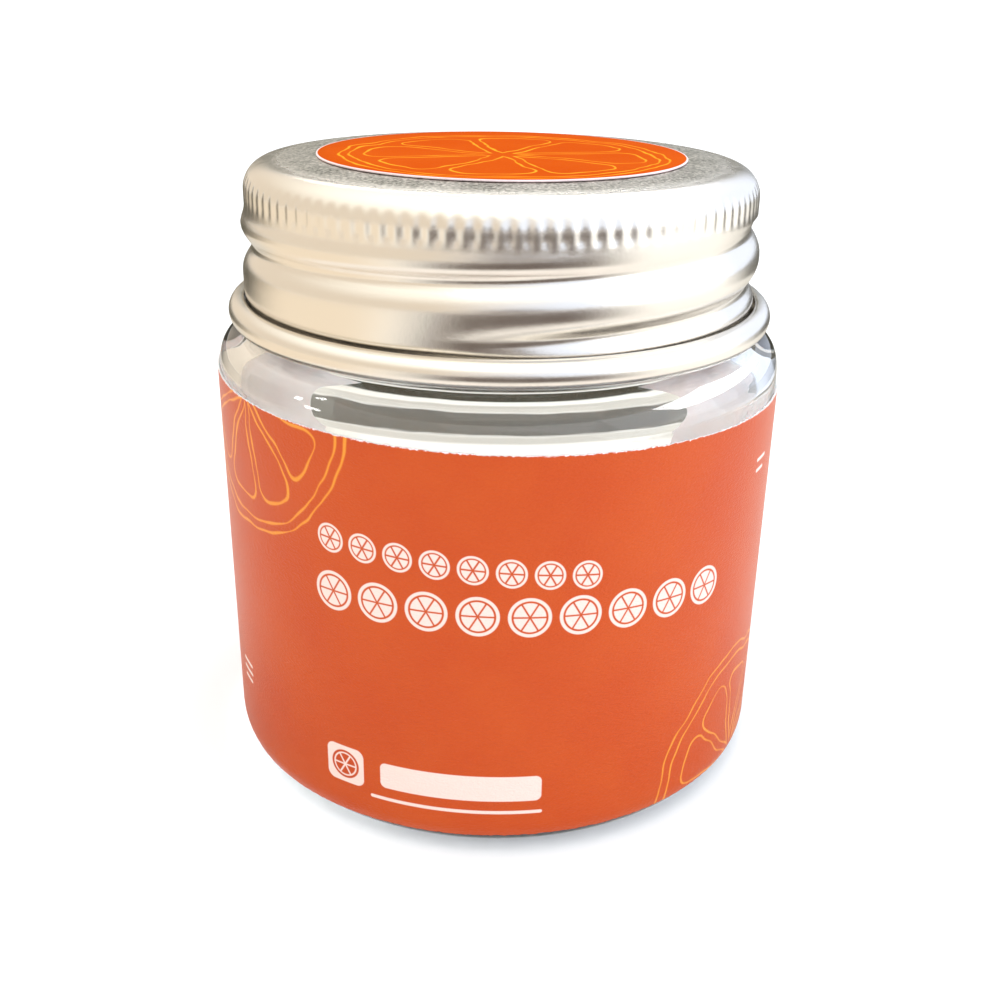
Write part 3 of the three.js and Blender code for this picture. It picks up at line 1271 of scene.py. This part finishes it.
    def printed(self) -> bpy.types.Material:
        """The printed face: orange ground, citrus line drawings, rows of pale slices and bars.

        Returns:
            The material.
        """
        material, tree, shader, spot = self.finish.start(self.effects, "print_place")
        colour = self.finish.ground_colour(tree, self.effects, spot)
        for one in self.slices:
            ink = tree.math("MULTIPLY", one.ink(tree, self.effects, spot), self.line_share)
            colour = tree.mix_colour(ink, colour, self.finish.line_ink)
        for one in (*self.rows, *self.bars):
            colour = tree.mix_colour(one.ink(tree, spot), colour, self.finish.pale_ink)
        colour = tree.mix_colour(self.mark.ink(tree, spot), colour, self.finish.ground)
        colour = tree.mix_colour(self.frayed(tree, spot), colour, self.finish.bare)
        tree.tree.links.new(colour, shader.inputs["Base Color"])
        return material

    def frayed(self, tree: Tree, spot: object) -> bpy.types.NodeSocket:
        """Mask of the worn, unprinted fringe along the label's top edge.

        Args:
            tree: The material's tree.
            spot: The place in mm on the flat sheet.

        Returns:
            The socket of the mask.
        """
        x, y, _ = tree.split(spot)
        slope = self.top_slope / (self.jar.radius + self.glue + self.paper)
        below = tree.math("SUBTRACT", tree.math("MULTIPLY_ADD", x, slope, self.top), y)
        worn = tree.smooth(tree.noise(spot, 3.0, 3.0, Roughness=0.7), 0.32, 0.68)
        reach = tree.math("MULTIPLY", worn, 2 * self.fringe)
        return tree.smooth(tree.math("SUBTRACT", below, reach), self.fringe_blur, -self.fringe_blur)

    def bare(self) -> bpy.types.Material:
        """The bare paper of the back and the cut edges, which glows a little with the light behind it, and
        whose pink is painted light from the orange print.

        Returns:
            The material.
        """
        bare = self.finish.bare
        plain = PrintedPaper("label_back", bare, bare, bare, glow=1.0, glow_reach=0.8)
        material, tree, shader, spot = plain.start(self.effects, "print_place")
        grain = tree.group(self.effects.grain, Place=spot, Speckle_Scale=2.0, Mottle_Scale=0.25)
        dimmer = tuple(self.back_mottle * part for part in bare)
        colour = tree.mix_colour(grain.outputs["Mottle"], bare, dimmer)
        tree.tree.links.new(colour, shader.inputs["Base Color"])
        return material

    def build(self) -> bpy.types.Object:
        """Makes the sheet and prints it.

        Returns:
            The finished piece.
        """
        mesh = self.sheet_mesh()
        mesh.materials.append(self.printed())
        mesh.materials.append(self.bare())
        piece = bpy.data.objects.new("wrap_label_sheet", mesh)
        bpy.context.scene.collection.objects.link(piece)
        if signed_volume(mesh) < 0:
            mesh.flip_normals()
        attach(piece, "root")
        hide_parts("wrap_label")
        return piece


@dataclass
class LidSticker:
    """Round printed paper sticker on the lid, with a narrow unprinted rim."""

    effects: Effects
    lid: ScrewLid
    radius: float = 14.9
    paper: float = 0.15
    glue: float = 0.05
    rim: float = 0.1
    rim_blur: tuple[float, float] = (0.06, 0.04)
    nick: float = 0.03
    line_share: float = 0.85
    columns: int = 288
    finish: PrintedPaper = field(
        default_factory=lambda: PrintedPaper(
            "sticker_print",
            ground=(0.58, 0.076, 0.001),
            ground_mottle=(0.62, 0.098, 0.003),
            line_ink=(0.98, 0.46, 0.03),
            shine=0.02,
            roughness=0.7,
            sheen=0.0,
        )
    )
    drawing: CitrusSlice = CitrusSlice(
        (0.1, -1.4), 12.9, 12.1, 10.9, 8, first=-17.0, gap=0.45, corner=1.9, stroke=0.15, wobble=0.4
    )

    def build(self) -> bpy.types.Object:
        """Turns the disc and prints it.

        Returns:
            The finished piece.
        """
        low = self.lid.top + self.glue
        high = low + self.paper
        under = line((0.0, low), (self.radius - self.nick, low), 3)
        upper = line((self.radius - self.nick, high), (0.0, high), 8)
        profile = [*under, (self.radius, low + self.nick), (self.radius, high - self.nick), *upper]
        material, tree, shader, spot = self.finish.start(self.effects, None)
        colour = self.finish.ground_colour(tree, self.effects, spot)
        ink = tree.math("MULTIPLY", self.drawing.ink(tree, self.effects, spot), self.line_share)
        colour = tree.mix_colour(ink, colour, self.finish.line_ink)
        x, y, _ = tree.split(spot)
        reach = tree.vector_math("LENGTH", tree.join(x, y))
        printed = self.radius - self.rim
        edge = tree.smooth(reach, printed - self.rim_blur[0], printed + self.rim_blur[1])
        colour = tree.mix_colour(edge, colour, self.finish.bare)
        tree.tree.links.new(colour, shader.inputs["Base Color"])
        piece = TurnedForm("lid_sticker_disc", profile, self.columns).build(material)
        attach(piece, "root")
        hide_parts("lid_sticker")
        return piece


# Studio


@dataclass(frozen=True)
class SoftBox:
    """A soft lamp at an azimuth and a height, which points at the jar."""

    name: str
    azimuth: float
    elevation: float
    distance: float
    width: float
    height: float
    watts: float
    colour: Colour = (1.0, 1.0, 1.0)

    def build(self, target: Vector) -> bpy.types.Object:
        """Makes the lamp.

        Args:
            target: The point that it faces, in metres.

        Returns:
            The lamp.
        """
        data = bpy.data.lights.new(self.name, "AREA")
        data.shape = "RECTANGLE"
        data.size, data.size_y = self.width, self.height
        data.energy = self.watts
        data.color = self.colour
        lamp = bpy.data.objects.new(self.name, data)
        bpy.context.scene.collection.objects.link(lamp)
        turn, lift = math.radians(self.azimuth), math.radians(self.elevation)
        away = Vector((math.sin(turn) * math.cos(lift), -math.cos(turn) * math.cos(lift), math.sin(lift)))
        lamp.location = target + away * self.distance
        lamp.rotation_mode = "QUATERNION"
        lamp.rotation_quaternion = away.to_track_quat("Z", "Y")
        lamp.visible_camera = False
        return lamp


@dataclass(frozen=True)
class ShadowCard:
    """A dull rounded card, flat on the floor, that only metal and glass see: a painted shadow that darkens
    what they show of the floor.
    """

    name: str
    colour: Colour
    middle: tuple[float, float]
    half_size: tuple[float, float]
    squareness: float = 3.0
    height: float = 0.3
    corners: int = 64

    def build(self) -> None:
        """Makes the card, hidden from the camera and casting no shadow."""
        mesh = bpy.data.meshes.new(self.name)
        outline = []
        for turn in np.linspace(0, math.tau, self.corners, endpoint=False):
            place = []
            for part, middle, half in zip((math.cos(turn), math.sin(turn)), self.middle, self.half_size):
                rounded = math.copysign(abs(part) ** (2 / self.squareness), part)
                place.append((middle + half * rounded) * MM)
            outline.append((*place, self.height * MM))
        mesh.from_pydata(outline, [], [tuple(range(len(outline)))])
        material, _, shader = new_material(self.name)
        shader.inputs["Base Color"].default_value = (*self.colour, 1.0)
        shader.inputs["Roughness"].default_value = CARD_ROUGHNESS
        mesh.materials.append(material)
        hide_card(mesh)


@dataclass(frozen=True)
class TableTone:
    """A soft-edged patch of painted light and shade on the table card, between two azimuths and two radii in
    mm from the jar's axis.
    """

    colour: Colour
    azimuths: tuple[float, float]
    ring: tuple[float, float]
    turn_blur: float = 20.0
    ring_blur: float = 0.2

    def tint(self, tree: Tree, x: object, y: object, colour: object) -> bpy.types.NodeSocket:
        """Mixes the tone into the card's colour.

        Args:
            tree: The card's node tree.
            x: Place on the card towards the right, in mm.
            y: Place on the card towards the back, in mm.
            colour: The card's colour so far.

        Returns:
            The socket of the mixed colour.
        """
        middle = math.radians(sum(self.azimuths) / 2)
        half = math.radians(self.azimuths[1] - self.azimuths[0]) / 2
        blur = math.radians(self.turn_blur)
        reach = tree.vector_math("LENGTH", tree.join(x, y))
        ahead = tree.math("MULTIPLY_ADD", x, math.sin(middle), tree.math("MULTIPLY", y, -math.cos(middle)))
        away = tree.math("ARCCOSINE", tree.math("DIVIDE", ahead, reach))
        share = tree.smooth(away, half + blur, half - blur)
        near, far = self.ring
        begins = tree.smooth(reach, near * (1 - self.ring_blur), near * (1 + self.ring_blur))
        ends = tree.smooth(reach, far * (1 + self.ring_blur), far * (1 - self.ring_blur))
        share = tree.math("MULTIPLY", tree.math("MULTIPLY", share, begins), ends)
        return tree.mix_colour(share, colour, self.colour)


@dataclass(frozen=True)
class TableCard:
    """A wide card on the floor that only metal and glass see, with painted light and shade round the jar."""

    base: Colour = (0.86, 0.85, 0.84)
    inner: float = 24.2
    outer: float = 4000.0
    height: float = 0.35
    corners: int = 96
    # The tones paint light and shade round the jar: a cream lit patch on the left, a dark shadow in front on
    # the camera's side, and the jar's own shadow close round it and behind it; the others are darker ground
    # far in front and far behind, with a paler band between.
    tones: tuple[TableTone, ...] = (
        TableTone((0.74, 0.64, 0.52), (-150, -45), (60, 5000)),
        TableTone((0.075, 0.052, 0.043), (-28, 48), (68, 560)),
        TableTone((0.30, 0.24, 0.20), (-40, 60), (760, 9000)),
        TableTone((0.16, 0.12, 0.09), (-180, 180), (10, 36), ring_blur=0.1),
        TableTone((0.52, 0.50, 0.47), (125, 235), (84, 150), ring_blur=0.1),
        TableTone((0.035, 0.030, 0.016), (125, 235), (10, 57), ring_blur=0.07),
        TableTone((0.035, 0.030, 0.016), (120, 240), (160, 9000), ring_blur=0.1),
    )

    def build(self) -> None:
        """Makes the ring-shaped card, hidden from the camera and casting no shadow."""
        mesh = bpy.data.meshes.new("table_light_and_shade_card")
        turns = np.linspace(0, math.tau, self.corners, endpoint=False)
        points = []
        for radius in (self.inner, self.outer):
            rim = radius * MM
            points += [(rim * math.sin(t), rim * math.cos(t), self.height * MM) for t in turns]
        n = self.corners
        mesh.from_pydata(points, [], [(i, (i + 1) % n, n + (i + 1) % n, n + i) for i in range(n)])
        material, tree, shader = new_material("table_light_and_shade_card")
        x, y, _ = tree.split(place_in_mm(tree))
        colour: object = self.base
        for tone in self.tones:
            colour = tone.tint(tree, x, y, colour)
        tree.tree.links.new(colour, shader.inputs["Base Color"])
        shader.inputs["Roughness"].default_value = CARD_ROUGHNESS
        mesh.materials.append(material)
        hide_card(mesh)


def hide_card(mesh: bpy.types.Mesh) -> None:
    """Stages a card that reflections and refractions see, and that the camera and the shadows don't.

    Args:
        mesh: The card, whose name the staged object takes.
    """
    card = bpy.data.objects.new(mesh.name, mesh)
    bpy.context.scene.collection.objects.link(card)
    card.visible_camera = card.visible_shadow = card.visible_diffuse = False


@dataclass(frozen=True)
class Pane:
    """A bright window pane that one piece alone mirrors, with its direction and size in degrees."""

    name: str
    azimuth: float
    elevation: float
    width: float
    height: float
    brightness: float
    distance: float = 0.6

    def build(self, target: Vector, mirror: bpy.types.Collection) -> None:
        """Makes the pane as a lamp that lights the mirror's piece and nothing else.

        Args:
            target: The point that the pane faces, in metres.
            mirror: The collection with the piece that shows the pane.
        """
        angles = (math.radians(self.width), math.radians(self.height))
        across, tall = (2 * self.distance * math.tan(angle / 2) for angle in angles)
        watts = self.brightness * math.pi * across * tall
        box = SoftBox(self.name, self.azimuth, self.elevation, self.distance, across, tall, watts)
        lamp = box.build(target)
        lamp.visible_diffuse = lamp.visible_transmission = False
        lamp.light_linking.receiver_collection = mirror


@dataclass(frozen=True)
class SkyPatch:
    """A soft patch of the surroundings, full to its core and gone at its reach, both in degrees."""

    azimuth: float
    elevation: float
    core: float
    reach: float
    colour: Colour

    def tint(self, tree: Tree, direction: object, colour: object) -> bpy.types.NodeSocket:
        """Mixes the patch into the colour of the surroundings.

        Args:
            tree: The world's tree.
            direction: The direction of view.
            colour: The colour of the surroundings so far.

        Returns:
            The socket of the mixed colour.
        """
        turn, lift = math.radians(self.azimuth), math.radians(self.elevation)
        middle = (math.sin(turn) * math.cos(lift), -math.cos(turn) * math.cos(lift), math.sin(lift))
        near = tree.vector_math("DOT_PRODUCT", direction, middle)
        share = tree.smooth(near, math.cos(math.radians(self.reach)), math.cos(math.radians(self.core)))
        return tree.mix_colour(share, colour, self.colour)


@dataclass(frozen=True)
class Surroundings:
    """Walls that are warmer on the left and brighter on the right, while the camera sees plain white."""

    seen: Colour = (1.0, 1.0, 1.0)
    left: Colour = (0.93, 0.81, 0.66)
    right: Colour = (1.10, 1.20, 1.40)
    turn: float = 0.55
    patches: tuple[SkyPatch, ...] = (
        SkyPatch(10, 90, 25, 72, (1.5, 1.48, 1.36)),
        SkyPatch(6, -13, 12, 27, (0.13, 0.10, 0.085)),
        SkyPatch(180, 2, 14, 28, (0.14, 0.135, 0.10)),
    )

    def build(self) -> None:
        """Makes the world and gives it to the scene."""
        world = bpy.data.worlds.new("studio")
        world.use_nodes = True
        tree = Tree(world.node_tree)
        direction = tree.node("ShaderNodeTexCoord").outputs["Generated"]
        share = tree.smooth(tree.split(direction)[0], -self.turn, self.turn)
        colour = tree.mix_colour(share, self.left, self.right)
        for patch in self.patches:
            colour = patch.tint(tree, direction, colour)
        by_camera = tree.node("ShaderNodeLightPath").outputs["Is Camera Ray"]
        colour = tree.mix_colour(by_camera, colour, self.seen)
        tree.tree.links.new(colour, world.node_tree.nodes["Background"].inputs["Color"])
        bpy.context.scene.world = world


@dataclass
class Studio:
    """Pale floor, soft light and the camera at the photograph's viewing angle."""

    floor_half: float = 30.0
    floor_colours: tuple[Colour, Colour] = ((0.84, 0.87, 0.92), (0.82, 0.85, 0.90))
    floor_roughness: float = 0.6
    floor_glow: float = 0.12
    floor_glow_colour: Colour = (0.96, 0.98, 1.0)
    target: tuple[float, float, float] = (0.0, 0.0, 0.026)
    sensor: float = 36.0
    lens: float = 43.056
    camera_place: tuple[float, float, float] = (0.0, -99.94, 63.66)
    pitch: float = 0.407
    yaw: float = 0.0033
    roll: float = 0.018
    surroundings: Surroundings = field(default_factory=Surroundings)
    boxes: tuple[SoftBox, ...] = (
        SoftBox("right_window", 75, 16, 0.50, 0.60, 0.34, 0.6, (0.94, 0.97, 1.0)),
        SoftBox("front_overhead", 14, 60, 0.60, 0.55, 0.35, 0.3, (1.0, 0.98, 0.93)),
    )
    shadow_cards: tuple[ShadowCard, ...] = (
        # A painted shadow under the jar, which its glass base shows as the dark floor beneath it.
        ShadowCard("under_jar_painted_shadow", (0.045, 0.028, 0.012), (0.0, 3.0), (14.0, 11.0)),
    )
    card: TableCard = field(default_factory=TableCard)
    lid_panes: tuple[Pane, ...] = (Pane("behind_lid_pane", 180, 33, 36, 6, 3.0),)
    glass_panes: tuple[Pane, ...] = (
        Pane("far_left_pane", -84, 18, 4, 7, 24),
        Pane("left_pane", -81, 34, 3, 5, 22),
        Pane("low_left_pane", -74, 6, 6, 5, 16),
        Pane("back_pane", 160, 63, 4, 4, 20),
        Pane("right_pane", 108, 33, 62, 22, 16),
    )
    ceiling_strength: float = 0.3
    ceiling_spread: float = 45.0

    def floor(self) -> None:
        """Makes the plain pale floor, with a barely visible mottle."""
        half = self.floor_half
        mesh = bpy.data.meshes.new("floor")
        corners = [(-half, -half, 0), (half, -half, 0), (half, half, 0), (-half, half, 0)]
        mesh.from_pydata(corners, [], [(0, 1, 2, 3)])
        material, tree, shader = new_material("pale_floor")
        colour = tree.mix_colour(tree.noise(place_in_mm(tree), 0.02, 2.0), *self.floor_colours)
        tree.tree.links.new(colour, shader.inputs["Base Color"])
        shader.inputs["Roughness"].default_value = self.floor_roughness
        shader.inputs["Specular IOR Level"].default_value = 0.0
        shader.inputs["Emission Color"].default_value = (*self.floor_glow_colour, 1.0)
        shader.inputs["Emission Strength"].default_value = self.floor_glow
        mesh.materials.append(material)
        piece = bpy.data.objects.new("floor", mesh)
        bpy.context.scene.collection.objects.link(piece)

    def camera(self) -> None:
        """Makes the camera that was fitted to the photograph, which is 1000 by 1000."""
        flat = math.cos(self.pitch)
        forward = Vector((math.sin(self.yaw) * flat, math.cos(self.yaw) * flat, -math.sin(self.pitch)))
        level = Vector((math.cos(self.yaw), -math.sin(self.yaw), 0.0))
        rise = level.cross(forward)
        right = math.cos(self.roll) * level + math.sin(self.roll) * rise
        up = -math.sin(self.roll) * level + math.cos(self.roll) * rise
        data = bpy.data.cameras.new("camera")
        data.lens, data.sensor_width = self.lens, self.sensor
        data.clip_start, data.clip_end = 0.001, 50.0
        camera = bpy.data.objects.new("camera", data)
        bpy.context.scene.collection.objects.link(camera)
        turn = Matrix((right, up, -forward)).transposed().to_4x4()
        camera.matrix_world = Matrix.Translation(Vector(self.camera_place) * MM) @ turn
        bpy.context.scene.camera = camera

    def build(self, glass: bpy.types.Object, lid: bpy.types.Object) -> None:
        """Sets the whole studio.

        Args:
            glass: The piece that mirrors the glass's window panes.
            lid: The piece that mirrors the lid's window panes.
        """
        self.floor()
        self.surroundings.build()
        self.camera()
        for box in self.boxes:
            box.build(Vector(self.target))
        for shadow_card in self.shadow_cards:
            shadow_card.build()
        self.card.build()
        for piece, panes in ((glass, self.glass_panes), (lid, self.lid_panes)):
            mirror = bpy.data.collections.new(f"{piece.name}_mirrors")
            mirror.objects.link(piece)
            for pane in panes:
                pane.build(Vector(self.target), mirror)
        ceiling = bpy.data.lights.new("ceiling", "SUN")
        ceiling.energy = self.ceiling_strength
        ceiling.angle = math.radians(self.ceiling_spread)
        bpy.context.scene.collection.objects.link(bpy.data.objects.new("ceiling", ceiling))
        settings = bpy.context.scene.view_settings
        settings.view_transform = "Standard"
        settings.exposure = 0.0


def report(piece: bpy.types.Object) -> None:
    """Logs a piece's name and how many faces it has."""
    LOG.info("%s: %d faces", piece.name, len(piece.data.polygons))


def main() -> None:
    """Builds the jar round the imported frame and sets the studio."""
    logging.basicConfig(level=logging.INFO, format="%(message)s")
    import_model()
    effects = Effects()
    jar = GlassJar()
    lid = ScrewLid(effects)
    pieces = [part.build() for part in (jar, lid, WrapLabel(effects, jar), LidSticker(effects, lid))]
    for piece in pieces:
        report(piece)
    Studio().build(pieces[0], pieces[1])


if __name__ == "__main__":
    main()
